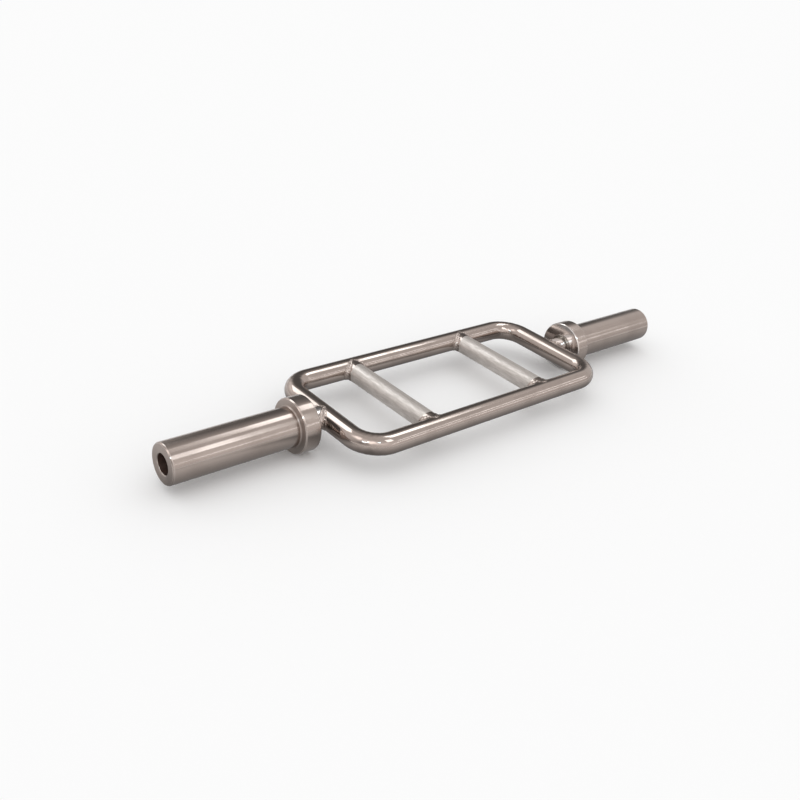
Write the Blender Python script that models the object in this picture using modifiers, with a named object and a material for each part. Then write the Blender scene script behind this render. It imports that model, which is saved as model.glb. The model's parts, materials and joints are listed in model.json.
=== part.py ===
# Triceps bar: a closed loop of round steel bar with two cross grips, and a plate sleeve
# that turns freely on a spindle at each end.
# Metres, +Z up. X runs along the bar and Y along the grips, and the loop lies flat in XY.
# The origin is the middle of the loop, on the line that both sleeves turn about.

import math

import bmesh
import bpy
from mathutils import Matrix, Vector

# Loop of bent bar, in two halves that meet in the middle of the long rails.
# Lengths are between the centre lines of the rails. The grips and necks are a little thinner.
BAR_DIAMETER = 0.0272
CROSS_BAR_UNDERSIZE = 0.0001
FRAME_LENGTH = 0.410
FRAME_WIDTH = 0.176
BEND_RADIUS = 0.0345
GRIP_SPACING = 0.199

# Spindles: a neck welded to the end rail, and a thinner shaft inside the sleeve.
# The plain length of the neck is what shows between its weld and the thrust washer.
NECK_PLAIN_LENGTH = 0.0046
NECK_CHAMFER = 0.001
SHAFT_DIAMETER = 0.020
SHAFT_CHAMFER = 0.001

# Fillet welds: the hollow's radius, the thickness at the edge, and the edge's width on each bar
GRIP_FILLET_RADIUS = 0.0045
NECK_FILLET_RADIUS = 0.006
WELD_EDGE_THICKNESS = 0.0010
WELD_EDGE_WIDTH = 0.0020

# Sleeves and their collars
SLEEVE_DIAMETER = 0.050
LOADING_LENGTH = 0.1645
SLEEVE_CHAMFER = 0.0015
MOUTH_DEPTH = 0.034
MOUTH_CHAMFER = 0.0008
COLLAR_RIM_HEIGHT = 0.00975
COLLAR_THICKNESS = 0.0225
COLLAR_WALL = 0.004
COLLAR_CHAMFER = 0.0014
COLLAR_WELD_LEG = 0.002
COLLAR_WELD_DIP = 0.36
COLLAR_RELIEF_DEPTH = 0.0003

# Bushings that carry the sleeve on the shaft
BUSHING_WALL = 0.0019
BUSHING_LENGTH = 0.025
BUSHING_CHAMFER = 0.0006

# Washers and bolt that hold the sleeve on
THRUST_WASHER_DIAMETER = 0.034
THRUST_WASHER_THICKNESS = 0.0012
RETAINING_WASHER_SIDE_GAP = 0.0006
RETAINING_WASHER_THICKNESS = 0.003
LOCK_WASHER_THICKNESS = 0.0022
LOCK_WASHER_SPLIT = 0.0015
BOLT_DIAMETER = 0.010
BOLT_GRIP_IN_SHAFT = 0.022
BOLT_HOLE_SPARE_DEPTH = 0.004
BOLT_HEAD_OVERHANG = 0.003
BOLT_HEAD_HEIGHT = 0.010
BOLT_CHAMFER = 0.0008
SOCKET_ACROSS_FLATS = 0.008
SOCKET_DEPTH = 0.005

# Clearances: between pieces that touch, between pieces that turn, and along the shaft
SEAT_GAP = 0.0003
RUNNING_GAP = 0.0003
END_PLAY = 0.0005

# Fineness of the round surfaces
BAR_BEVEL_STEPS = 10
BEND_STEPS = 8
GRIP_SIDES = 24
SLEEVE_SIDES = 40
SMALL_SIDES = 24
SHARP_EDGE_ANGLE = math.radians(35)
TURN_MERGE_DISTANCE = 0.00005
WELD_SECTIONS = 24
WELD_HOLLOW_STEPS = 3
CUTTER_SIDES = 32
HEX_SIDES = 6

# Sizes that follow from the driving dimensions
BAR_RADIUS = BAR_DIAMETER / 2
CROSS_BAR_RADIUS = BAR_RADIUS - CROSS_BAR_UNDERSIZE
SHAFT_RADIUS = SHAFT_DIAMETER / 2
SLEEVE_RADIUS = SLEEVE_DIAMETER / 2
COLLAR_RADIUS = SLEEVE_RADIUS + COLLAR_RIM_HEIGHT
COLLAR_BORE_RADIUS = SLEEVE_RADIUS + SEAT_GAP
PLATE_SEAT_RADIUS = COLLAR_BORE_RADIUS + COLLAR_WELD_LEG + SEAT_GAP
SHAFT_HOLE_RADIUS = SHAFT_RADIUS + RUNNING_GAP
BUSHING_RADIUS = SHAFT_HOLE_RADIUS + BUSHING_WALL
BUSHING_SEAT_RADIUS = BUSHING_RADIUS + SEAT_GAP
SLEEVE_CORE_RADIUS = (BUSHING_RADIUS + SHAFT_HOLE_RADIUS) / 2
RETAINING_WASHER_RADIUS = BUSHING_SEAT_RADIUS - RETAINING_WASHER_SIDE_GAP
BOLT_RADIUS = BOLT_DIAMETER / 2
BOLT_HOLE_RADIUS = BOLT_RADIUS + SEAT_GAP
BOLT_HEAD_RADIUS = BOLT_RADIUS + BOLT_HEAD_OVERHANG
NECK_WELD_REACH = BAR_RADIUS + WELD_EDGE_THICKNESS + NECK_FILLET_RADIUS + WELD_EDGE_WIDTH
NECK_LENGTH = NECK_WELD_REACH + NECK_PLAIN_LENGTH

# Places along the bar's axis, counted from the middle of the loop outwards
END_RAIL_X = FRAME_LENGTH / 2
NECK_END_X = END_RAIL_X + NECK_LENGTH
THRUST_WASHER_X = NECK_END_X + SEAT_GAP
COLLAR_X = THRUST_WASHER_X + THRUST_WASHER_THICKNESS + SEAT_GAP
COLLAR_FACE_X = COLLAR_X + COLLAR_THICKNESS
COLLAR_WELD_X = COLLAR_FACE_X - COLLAR_RELIEF_DEPTH
SLEEVE_X = COLLAR_X + COLLAR_WALL + SEAT_GAP
SLEEVE_END_X = COLLAR_FACE_X + LOADING_LENGTH
SLEEVE_LENGTH = SLEEVE_END_X - SLEEVE_X
OUTER_BUSHING_X = SLEEVE_END_X - MOUTH_DEPTH - BUSHING_LENGTH
SHAFT_END_X = OUTER_BUSHING_X + BUSHING_LENGTH + END_PLAY
RETAINING_WASHER_X = SHAFT_END_X + SEAT_GAP
LOCK_WASHER_X = RETAINING_WASHER_X + RETAINING_WASHER_THICKNESS + SEAT_GAP
BOLT_SEAT_X = LOCK_WASHER_X + LOCK_WASHER_THICKNESS + SEAT_GAP
BOLT_LENGTH = BOLT_SEAT_X - SHAFT_END_X + BOLT_GRIP_IN_SHAFT

LONG_RAIL_Y = FRAME_WIDTH / 2
GRIP_X = GRIP_SPACING / 2

SIDES = {"left": -1, "right": 1}
RAILS = {"front": -1, "back": 1}
ALONG_X = Vector((1.0, 0.0, 0.0))
ALONG_Y = Vector((0.0, 1.0, 0.0))


def empty_the_scene():
    for old in list(bpy.data.objects):
        bpy.data.objects.remove(old, do_unlink=True)


def new_collection(name):
    collection = bpy.data.collections.new(name)
    bpy.context.scene.collection.children.link(collection)
    return collection


def new_material(name, colour, roughness, metallic=1.0):
    material = bpy.data.materials.new(name)
    material.use_nodes = True
    shader = material.node_tree.nodes["Principled BSDF"]
    shader.inputs["Base Color"].default_value = (*colour, 1.0)
    shader.inputs["Roughness"].default_value = roughness
    shader.inputs["Metallic"].default_value = metallic
    return material


def put(data, name, collection, material=None):
    """Make an object from mesh or curve data, with its material, in its collection."""
    thing = bpy.data.objects.new(name, data)
    if material is not None:
        data.materials.append(material)
    collection.objects.link(thing)
    return thing


def round_off(thing):
    """Shade the round faces smooth and keep the corners sharp."""
    thing.data.shade_smooth()
    thing.data.set_sharp_from_angle(angle=SHARP_EDGE_ANGLE)


def cylinder_mesh(name, radius, length, sides):
    """A cylinder along Z, centred on its own origin."""
    mesh = bpy.data.meshes.new(name)
    shape = bmesh.new()
    bmesh.ops.create_cone(shape, cap_ends=True, segments=sides, radius1=radius, radius2=radius, depth=length)
    shape.to_mesh(mesh)
    shape.free()
    return mesh


def box_mesh(name, size):
    mesh = bpy.data.meshes.new(name)
    shape = bmesh.new()
    bmesh.ops.create_cube(shape, size=1.0, matrix=Matrix.Diagonal((*size, 1.0)))
    shape.to_mesh(mesh)
    shape.free()
    return mesh


def turned(name, outline, sides, closed, material):
    """A shape turned about Z. The outline is a list of (radius, height) that runs down the outer side
    and, for a ring, up the inner side again."""
    mesh = bpy.data.meshes.new(name)
    count = len(outline)
    edges = [(i, i + 1) for i in range(count - 1)]
    if closed:
        edges.append((count - 1, 0))
    mesh.from_pydata([(radius, 0.0, height) for radius, height in outline], edges, [])
    thing = put(mesh, name, parts, material)
    screw = thing.modifiers.new("Turn", "SCREW")
    screw.axis = "Z"
    screw.angle = 2 * math.pi
    screw.screw_offset = 0.0
    screw.steps = sides
    screw.render_steps = sides
    screw.use_merge_vertices = True
    screw.merge_threshold = TURN_MERGE_DISTANCE
    screw.use_smooth_shade = True
    return thing


def cut(thing, cutter, name):
    """Take the cutter's shape out of a piece."""
    boolean = thing.modifiers.new(name, "BOOLEAN")
    boolean.operation = "DIFFERENCE"
    boolean.solver = "EXACT"
    boolean.object = cutter


def new_cutter(mesh, name):
    cutter = put(mesh, name, cutters)
    cutter.hide_render = True
    cutter.display_type = "WIRE"
    return cutter


def new_axis(name, side):
    """An empty at the middle of the loop whose Z points outwards along the bar on one side."""
    axis = bpy.data.objects.new(name, None)
    axis.rotation_euler = (0.0, side * math.pi / 2, 0.0)
    parts.objects.link(axis)
    return axis


def seat(thing, axis, along):
    """Put a turned piece on a side's axis, this far out from the middle of the loop."""
    thing.parent = axis
    thing.location = (0.0, 0.0, along)


def bow_route(side):
    """Half of the loop's centre line: middle of the front rail, two bends, middle of the back rail."""
    points = [Vector((side * SEAT_GAP / 2, -LONG_RAIL_Y, 0.0))]
    bend_x = END_RAIL_X - BEND_RADIUS
    bend_y = LONG_RAIL_Y - BEND_RADIUS
    for rail in RAILS.values():
        start = -math.pi / 2 if rail < 0 else 0.0
        for step in range(BEND_STEPS + 1):
            angle = start + step / BEND_STEPS * math.pi / 2
            x = bend_x + BEND_RADIUS * math.cos(angle)
            y = rail * bend_y + BEND_RADIUS * math.sin(angle)
            points.append(Vector((side * x, y, 0.0)))
    points.append(Vector((side * SEAT_GAP / 2, LONG_RAIL_Y, 0.0)))
    return points


def make_bow(side_name):
    """Half of the loop, as a round bar along its centre line."""
    name = side_name + "_frame_bow"
    curve = bpy.data.curves.new(name, "CURVE")
    curve.dimensions = "3D"
    curve.bevel_depth = BAR_RADIUS
    curve.bevel_resolution = BAR_BEVEL_STEPS
    curve.use_fill_caps = True
    route = bow_route(SIDES[side_name])
    spline = curve.splines.new("POLY")
    spline.points.add(len(route) - 1)
    for place, point in zip(spline.points, route):
        place.co = (*point, 1.0)
    spline.use_smooth = True
    put(curve, name, parts, polished_steel)


def make_grip(side_name):
    """A bar along Y, its ends cut to the round of the long rails."""
    side = SIDES[side_name]
    name = side_name + "_grip"
    grip = put(cylinder_mesh(name, CROSS_BAR_RADIUS, FRAME_WIDTH, GRIP_SIDES), name, parts, matte_steel)
    grip.location = (side * GRIP_X, 0.0, 0.0)
    grip.rotation_euler = (math.pi / 2, 0.0, 0.0)
    round_off(grip)
    for rail_name in RAILS:
        cut(grip, rail_cutters[rail_name], "Cope on " + rail_name + " rail")


def weld_section(angle, fillet_radius):
    """One slice of a fillet weld, where a branch bar along Z stands on a run bar along X.
    A ball that rolls round the joint, touching both bars, leaves the hollow of the weld. The slice is
    that ball's arc between the bars, an edge on each bar, and a root deep inside both."""
    branch_skin = CROSS_BAR_RADIUS + WELD_EDGE_THICKNESS
    run_skin = BAR_RADIUS + WELD_EDGE_THICKNESS
    out = Vector((math.cos(angle), math.sin(angle), 0.0))
    ball = (branch_skin + fillet_radius) * out
    ball.z = math.sqrt((run_skin + fillet_radius) ** 2 - ball.y ** 2)

    on_branch = Vector((branch_skin * out.x, branch_skin * out.y, ball.z))
    run_angle = math.atan2(ball.y, ball.z)
    on_run = Vector((ball.x, run_skin * math.sin(run_angle), run_skin * math.cos(run_angle)))
    hollow = [
        ball + fillet_radius * (on_branch - ball).slerp(on_run - ball, step / WELD_HOLLOW_STEPS)
        for step in range(WELD_HOLLOW_STEPS + 1)
    ]

    branch_edge = on_branch + Vector((0.0, 0.0, WELD_EDGE_WIDTH))
    run_edge = on_run + WELD_EDGE_WIDTH * Vector((out.x, 0.0, -abs(out.y)))
    root = BAR_RADIUS / 2 * (out + Vector((0.0, 0.0, abs(out.x))))
    return [branch_edge, *hollow, run_edge, root]


def make_weld(name, place, run, branch, fillet_radius, bars):
    """A fillet weld round the foot of a branch bar: a ring lofted through its slices, less the bars."""
    mesh = bpy.data.meshes.new(name)
    shape = bmesh.new()
    rings = []
    for number in range(WELD_SECTIONS):
        angle = 2 * math.pi * number / WELD_SECTIONS
        section = weld_section(angle, fillet_radius)
        rings.append([shape.verts.new(point) for point in section])
    for ring, following in zip(rings, rings[1:] + rings[:1]):
        for i, corner in enumerate(ring):
            j = (i + 1) % len(ring)
            shape.faces.new((corner, ring[j], following[j], following[i]))
    bmesh.ops.recalc_face_normals(shape, faces=shape.faces)
    shape.to_mesh(mesh)
    shape.free()

    weld = put(mesh, name, parts, weld_steel)
    turn = Matrix((run, branch.cross(run), branch)).transposed()
    weld.matrix_world = Matrix.Translation(place) @ turn.to_4x4()
    round_off(weld)
    for bar in bars:
        cut(weld, bar, "Clear of " + bar.name)


def make_grip_welds(side_name):
    side = SIDES[side_name]
    for rail_name, rail in RAILS.items():
        make_weld(
            f"{side_name}_grip_{rail_name}_weld",
            Vector((side * GRIP_X, rail * LONG_RAIL_Y, 0.0)),
            ALONG_X,
            -rail * ALONG_Y,
            GRIP_FILLET_RADIUS,
            (rail_cutters[rail_name], grip_cutters[side_name]),
        )


def make_neck_weld(side_name):
    side = SIDES[side_name]
    make_weld(
        side_name + "_neck_weld",
        Vector((side * END_RAIL_X, 0.0, 0.0)),
        ALONG_Y,
        side * ALONG_X,
        NECK_FILLET_RADIUS,
        (end_rail_cutters[side_name], neck_cutters[side_name]),
    )


def make_spindle(side_name, axis):
    """Neck and shaft from one bar, with a blind hole for the bolt and the neck's foot cut to the rail."""
    shaft_end = SHAFT_END_X - END_RAIL_X
    hole_floor = shaft_end - BOLT_GRIP_IN_SHAFT - BOLT_HOLE_SPARE_DEPTH
    outline = [
        (0.0, hole_floor),
        (BOLT_HOLE_RADIUS, hole_floor),
        (BOLT_HOLE_RADIUS, shaft_end),
        (SHAFT_RADIUS - SHAFT_CHAMFER, shaft_end),
        (SHAFT_RADIUS, shaft_end - SHAFT_CHAMFER),
        (SHAFT_RADIUS, NECK_LENGTH),
        (CROSS_BAR_RADIUS - NECK_CHAMFER, NECK_LENGTH),
        (CROSS_BAR_RADIUS, NECK_LENGTH - NECK_CHAMFER),
        (CROSS_BAR_RADIUS, 0.0),
        (0.0, 0.0),
    ]
    spindle = turned(side_name + "_spindle", outline, SMALL_SIDES, False, polished_steel)
    seat(spindle, axis, END_RAIL_X)
    cut(spindle, end_rail_cutters[side_name], "Cope on end rail")


def make_sleeve(side_name, axis):
    """The plate sleeve: a thick tube, bored wider at both ends so that each bushing has a shoulder."""
    inner_shoulder = BUSHING_LENGTH + SEAT_GAP
    outer_shoulder = OUTER_BUSHING_X - SLEEVE_X - SEAT_GAP
    outline = [
        (SLEEVE_RADIUS - SLEEVE_CHAMFER, SLEEVE_LENGTH),
        (SLEEVE_RADIUS, SLEEVE_LENGTH - SLEEVE_CHAMFER),
        (SLEEVE_RADIUS, 0.0),
        (BUSHING_SEAT_RADIUS, 0.0),
        (BUSHING_SEAT_RADIUS, inner_shoulder),
        (SLEEVE_CORE_RADIUS, inner_shoulder),
        (SLEEVE_CORE_RADIUS, outer_shoulder),
        (BUSHING_SEAT_RADIUS, outer_shoulder),
        (BUSHING_SEAT_RADIUS, SLEEVE_LENGTH - MOUTH_CHAMFER),
        (BUSHING_SEAT_RADIUS + MOUTH_CHAMFER, SLEEVE_LENGTH),
    ]
    sleeve = turned(side_name + "_sleeve", outline, SLEEVE_SIDES, True, satin_steel)
    seat(sleeve, axis, SLEEVE_X)


def make_collar(side_name, axis):
    """The collar that plates rest against: a ring bored to take the sleeve, with a wall at the back.
    The weld lies in a shallow relief, and the plates' flat seat runs round it out to the rim."""
    relief = COLLAR_THICKNESS - COLLAR_RELIEF_DEPTH
    outline = [
        (COLLAR_RADIUS - COLLAR_CHAMFER, COLLAR_THICKNESS),
        (COLLAR_RADIUS, COLLAR_THICKNESS - COLLAR_CHAMFER),
        (COLLAR_RADIUS, COLLAR_CHAMFER),
        (COLLAR_RADIUS - COLLAR_CHAMFER, 0.0),
        (SHAFT_HOLE_RADIUS, 0.0),
        (SHAFT_HOLE_RADIUS, COLLAR_WALL),
        (COLLAR_BORE_RADIUS, COLLAR_WALL),
        (COLLAR_BORE_RADIUS, relief),
        (PLATE_SEAT_RADIUS, relief),
        (PLATE_SEAT_RADIUS, COLLAR_THICKNESS),
    ]
    collar = turned(side_name + "_collar", outline, SLEEVE_SIDES, True, satin_steel)
    seat(collar, axis, COLLAR_X)


def make_collar_weld(side_name, axis):
    """The ground fillet weld in the corner between the collar's face and the sleeve."""
    root = COLLAR_BORE_RADIUS
    leg = COLLAR_WELD_LEG
    outline = [
        (root, SEAT_GAP + leg),
        (root + COLLAR_WELD_DIP * leg, SEAT_GAP + COLLAR_WELD_DIP * leg),
        (root + leg, SEAT_GAP),
        (root, SEAT_GAP),
    ]
    weld = turned(side_name + "_collar_weld", outline, SLEEVE_SIDES, True, satin_steel)
    seat(weld, axis, COLLAR_WELD_X)


def make_bushing(name, axis, along):
    outline = [
        (BUSHING_RADIUS - BUSHING_CHAMFER, BUSHING_LENGTH),
        (BUSHING_RADIUS, BUSHING_LENGTH - BUSHING_CHAMFER),
        (BUSHING_RADIUS, BUSHING_CHAMFER),
        (BUSHING_RADIUS - BUSHING_CHAMFER, 0.0),
        (SHAFT_HOLE_RADIUS, 0.0),
        (SHAFT_HOLE_RADIUS, BUSHING_LENGTH),
    ]
    bushing = turned(name, outline, SMALL_SIDES, True, bronze)
    seat(bushing, axis, along)


def make_washer(name, axis, along, radius, hole_radius, thickness):
    outline = [
        (radius, thickness),
        (radius, 0.0),
        (hole_radius, 0.0),
        (hole_radius, thickness),
    ]
    washer = turned(name, outline, SMALL_SIDES, True, dark_steel)
    seat(washer, axis, along)
    return washer


def make_lock_washer(side_name, axis):
    """A split ring: a washer with a narrow slot through one side."""
    name = side_name + "_lock_washer"
    washer = make_washer(
        name,
        axis,
        LOCK_WASHER_X,
        BOLT_HEAD_RADIUS,
        BOLT_HOLE_RADIUS,
        LOCK_WASHER_THICKNESS,
    )
    slot_size = (2 * BOLT_HEAD_RADIUS, LOCK_WASHER_SPLIT, 4 * LOCK_WASHER_THICKNESS)
    slot = new_cutter(box_mesh(name + "_slot", slot_size), name + "_slot")
    seat(slot, axis, LOCK_WASHER_X)
    slot.location.x = BOLT_HEAD_RADIUS
    cut(washer, slot, "Split")


def make_bolt(side_name, axis):
    """A socket head bolt, its head's underside at the local origin."""
    name = side_name + "_retaining_bolt"
    outline = [
        (0.0, BOLT_HEAD_HEIGHT),
        (BOLT_HEAD_RADIUS - BOLT_CHAMFER, BOLT_HEAD_HEIGHT),
        (BOLT_HEAD_RADIUS, BOLT_HEAD_HEIGHT - BOLT_CHAMFER),
        (BOLT_HEAD_RADIUS, 0.0),
        (BOLT_RADIUS, 0.0),
        (BOLT_RADIUS, BOLT_CHAMFER - BOLT_LENGTH),
        (BOLT_RADIUS - BOLT_CHAMFER, -BOLT_LENGTH),
        (0.0, -BOLT_LENGTH),
    ]
    bolt = turned(name, outline, SMALL_SIDES, False, dark_steel)
    seat(bolt, axis, BOLT_SEAT_X)
    socket_radius = SOCKET_ACROSS_FLATS / 2 / math.cos(math.pi / HEX_SIDES)
    socket_mesh = cylinder_mesh(name + "_socket", socket_radius, 2 * SOCKET_DEPTH, HEX_SIDES)
    socket = new_cutter(socket_mesh, name + "_socket")
    seat(socket, axis, BOLT_SEAT_X + BOLT_HEAD_HEIGHT)
    cut(bolt, socket, "Socket")


def bar_cutter(name, bar_radius, length, place, direction):
    """A cylinder the size of a bar and its seat gap, laid along a direction."""
    cutter = new_cutter(cylinder_mesh(name, bar_radius + SEAT_GAP, length, CUTTER_SIDES), name)
    cutter.location = place
    cutter.rotation_euler = direction.to_track_quat("Z", "Y").to_euler()
    return cutter


empty_the_scene()
parts = new_collection("Triceps bar")
cutters = new_collection("Cutters")

polished_steel = new_material("polished_steel", (0.46, 0.41, 0.375), 0.14)
satin_steel = new_material("satin_steel", (0.46, 0.41, 0.375), 0.24)
matte_steel = new_material("matte_steel", (0.60, 0.565, 0.535), 0.45)
weld_steel = new_material("weld_steel", (0.46, 0.42, 0.39), 0.22)
bronze = new_material("bronze", (0.55, 0.36, 0.16), 0.35)
dark_steel = new_material("dark_steel", (0.12, 0.10, 0.085), 0.45)

rail_cutters = {
    rail_name: bar_cutter(
        rail_name + "_rail_cutter",
        BAR_RADIUS,
        FRAME_LENGTH,
        (0.0, rail * LONG_RAIL_Y, 0.0),
        ALONG_X,
    )
    for rail_name, rail in RAILS.items()
}
end_rail_cutters = {
    side_name: bar_cutter(
        side_name + "_end_rail_cutter",
        BAR_RADIUS,
        FRAME_WIDTH,
        (side * END_RAIL_X, 0.0, 0.0),
        ALONG_Y,
    )
    for side_name, side in SIDES.items()
}
grip_cutters = {
    side_name: bar_cutter(
        side_name + "_grip_cutter",
        CROSS_BAR_RADIUS,
        FRAME_WIDTH,
        (side * GRIP_X, 0.0, 0.0),
        ALONG_Y,
    )
    for side_name, side in SIDES.items()
}
neck_cutters = {
    side_name: bar_cutter(
        side_name + "_neck_cutter",
        CROSS_BAR_RADIUS,
        2 * NECK_LENGTH,
        (side * END_RAIL_X, 0.0, 0.0),
        ALONG_X,
    )
    for side_name, side in SIDES.items()
}

for side_name, side in SIDES.items():
    make_bow(side_name)
    make_grip(side_name)
    make_grip_welds(side_name)
    make_neck_weld(side_name)

    spindle_axis = new_axis(side_name + "_spindle_axis", side)
    make_spindle(side_name, spindle_axis)
    make_washer(
        side_name + "_thrust_washer",
        spindle_axis,
        THRUST_WASHER_X,
        THRUST_WASHER_DIAMETER / 2,
        SHAFT_HOLE_RADIUS,
        THRUST_WASHER_THICKNESS,
    )
    make_washer(
        side_name + "_retaining_washer",
        spindle_axis,
        RETAINING_WASHER_X,
        RETAINING_WASHER_RADIUS,
        BOLT_HOLE_RADIUS,
        RETAINING_WASHER_THICKNESS,
    )
    make_lock_washer(side_name, spindle_axis)
    make_bolt(side_name, spindle_axis)

    sleeve_axis = new_axis(side_name + "_sleeve_axis", side)
    make_sleeve(side_name, sleeve_axis)
    make_collar(side_name, sleeve_axis)
    make_collar_weld(side_name, sleeve_axis)
    make_bushing(side_name + "_inner_bushing", sleeve_axis, SLEEVE_X)
    make_bushing(side_name + "_outer_bushing", sleeve_axis, OUTER_BUSHING_X)
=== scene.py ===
# %% [markdown]
# # Triceps bar
# Two bent halves of a round steel bar make a closed loop. Two knurled grips cross it, and at each end
# a plate sleeve turns freely on a spindle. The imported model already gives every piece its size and
# place. This script dresses each piece: numpy works out a smooth surface for it, and nodes give it a
# finish. All lengths are metres. X runs along the bar, Y along the grips, and Z is up.

# %% Load the fixed frame
import json
import math

import bpy
import numpy as np
from mathutils import Matrix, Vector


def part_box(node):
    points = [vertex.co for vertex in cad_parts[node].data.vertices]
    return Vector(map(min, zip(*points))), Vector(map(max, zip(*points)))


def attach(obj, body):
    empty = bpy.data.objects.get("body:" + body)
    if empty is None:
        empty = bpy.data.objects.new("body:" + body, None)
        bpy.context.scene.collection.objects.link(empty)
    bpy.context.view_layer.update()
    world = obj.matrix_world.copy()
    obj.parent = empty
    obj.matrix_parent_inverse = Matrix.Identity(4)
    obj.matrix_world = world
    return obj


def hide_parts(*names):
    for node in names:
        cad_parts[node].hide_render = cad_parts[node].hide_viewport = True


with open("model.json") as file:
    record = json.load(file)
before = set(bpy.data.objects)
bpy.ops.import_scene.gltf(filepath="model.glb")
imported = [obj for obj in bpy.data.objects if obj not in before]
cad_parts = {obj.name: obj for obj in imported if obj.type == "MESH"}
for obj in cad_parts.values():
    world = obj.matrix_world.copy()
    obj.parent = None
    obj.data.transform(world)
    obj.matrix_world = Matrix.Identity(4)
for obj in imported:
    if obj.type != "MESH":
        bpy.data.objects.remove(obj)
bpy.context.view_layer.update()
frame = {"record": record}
record = frame["record"]
BODY_OF = {node: body for body, nodes in record["behaviour"]["bodies"].items() for node in nodes}
MILLIMETRE = 0.001


def in_mm(*lengths):
    """Lengths in millimetres with one decimal, for what the cells print."""
    return [round(float(length / MILLIMETRE), 1) for length in lengths]


# %% [markdown]
# ## Sizes
# A dressed piece has to lie exactly where its solid lies. So the main sizes are read from the boxes of
# the nodes, on the right side, and the left side is the same thing mirrored. Only what no box can show
# is written here, such as a radius inside a bend or a bore.

# %% Read the sizes
SIDES = {"left": -1, "right": 1}


def corners(node):
    """Lowest and highest corner of a node at rest, as numpy arrays."""
    low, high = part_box(node)
    return np.array(low), np.array(high)


def across(node):
    """Radius of a turned node that lies along X: half its width in Z."""
    low, high = corners(node)
    return (high[2] - low[2]) / 2


def span(node):
    """Where a node on the right side begins and ends along X."""
    low, high = corners(node)
    return low[0], high[0]


BAR_RADIUS = across("right_frame_bow")
END_RAIL_X, LONG_RAIL_Y = corners("right_frame_bow")[1][:2] - BAR_RADIUS
BEND_RADIUS = 34.5 * MILLIMETRE
CROSS_BAR_RADIUS = across("right_grip")
GRIP_X = sum(span("right_grip")) / 2
SLEEVE_RADIUS = across("right_sleeve")
COLLAR_RADIUS = across("right_collar")
SHAFT_RADIUS = 10 * MILLIMETRE
SEAT_GAP = 0.3 * MILLIMETRE
print("bar, end rail, long rail and grip in mm:", in_mm(BAR_RADIUS, END_RAIL_X, LONG_RAIL_Y, GRIP_X))

# %% [markdown]
# ## From a grid of points to a mesh
# Every piece of this bar is a profile carried along a path: a section along a bent bar, or an outline
# round an axis. So each shape is a grid of points. Its columns go round and close on themselves. Its
# rows either close too, as in a ring, or end in two flat caps. One helper turns such a grid into a mesh,
# for any piece. It also stores values worked out with the shape, which the finishes read later: where
# an edge is, how deep a groove is, and where each point lay on the straight bar before it was bent.


# %% Quads of a grid
def grid_quads(rows, columns, ring):
    """Corners of every quad, as row and column numbers that haven't been wrapped round yet."""
    row, column = np.meshgrid(np.arange(rows if ring else rows - 1), np.arange(columns), indexing="ij")
    row_corners = np.stack([row, row, row + 1, row + 1], axis=-1).reshape(-1, 4)
    column_corners = np.stack([column, column + 1, column + 1, column], axis=-1).reshape(-1, 4)
    return row_corners, column_corners


def signed_volume(flat, quads):
    """Sum of a . (b x c) / 6 over the triangles of each quad. It is below zero when faces point in."""
    a, b, c, d = (flat[quads[:, corner]] for corner in range(4))
    return float((a * (np.cross(b, c) + np.cross(c, d))).sum() / 6)


print("A grid of 3 by 4 open rows has", len(grid_quads(3, 4, False)[0]), "quads")


# %% Helper that makes a piece from a grid
def add_object(name, data):
    """A new object in the scene that holds this mesh, lamp or camera."""
    thing = bpy.data.objects.new(name, data)
    bpy.context.scene.collection.objects.link(thing)
    return thing


def make_piece(node, grid, material, ring=False, crease=35, **values):
    """Turns a grid of points (rows, columns, 3) into the closed piece that stands for a CAD node."""
    rows, columns = grid.shape[:2]
    row, column = grid_quads(rows, columns, ring)
    quads = (row % rows) * columns + column % columns
    flat = grid.reshape(-1, 3)
    caps = [] if ring else [np.arange(columns)[::-1], (rows - 1) * columns + np.arange(columns)]
    if signed_volume(flat - flat.mean(0), quads) < 0:
        quads, column, row = quads[:, ::-1], column[:, ::-1], row[:, ::-1]
        caps = [cap[::-1] for cap in caps]
    mesh = bpy.data.meshes.new(node)
    mesh.from_pydata(flat, [], quads.tolist() + [cap.tolist() for cap in caps])
    for name, value in values.items():
        kind, field = ("FLOAT_VECTOR", "vector") if value.ndim == 3 else ("FLOAT", "value")
        attribute = mesh.attributes.new(name, kind, "POINT")
        attribute.data.foreach_set(field, np.ascontiguousarray(value, dtype=np.float32).ravel())
    add_uv_map(mesh, grid, row, column)
    mesh.shade_smooth()
    mesh.set_sharp_from_angle(angle=math.radians(crease))
    mesh.materials.append(material)
    piece = add_object(node + "_surface", mesh)
    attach(piece, BODY_OF[node])
    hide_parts(node)
    return piece


def add_uv_map(mesh, grid, row, column):
    """UV map in metres: U is the length along the first column, V the length round the widest row."""
    steps = np.linalg.norm(np.diff(np.concatenate([grid[:, 0], grid[:1, 0]]), axis=0), axis=1)
    along = np.concatenate([[0.0], np.cumsum(steps)])
    girth = np.linalg.norm(np.roll(grid, -1, axis=1) - grid, axis=2).sum(1).max()
    uv = np.zeros((len(mesh.loops), 2), dtype=np.float32)
    uv[: row.size, 0] = along[row].ravel()
    uv[: row.size, 1] = column.ravel() / grid.shape[1] * girth
    mesh.uv_layers.new(name="UVMap").uv.foreach_set("vector", uv.ravel())


# %% [markdown]
# ## Outlines with soft corners
# A machined edge is never quite sharp. Its small round catches the light as a thin bright line, and
# that line is much of what makes a turned steel piece look real. So an outline is written as its
# corners, each with how far it is softened, and a short curve takes the place of each corner.


# %% Soften the corners of an outline
BROAD_SOFT = 0.5 * MILLIMETRE
USUAL_SOFT = 0.4 * MILLIMETRE
FINE_SOFT = 0.3 * MILLIMETRE
THIN_SOFT = 0.2 * MILLIMETRE


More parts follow.
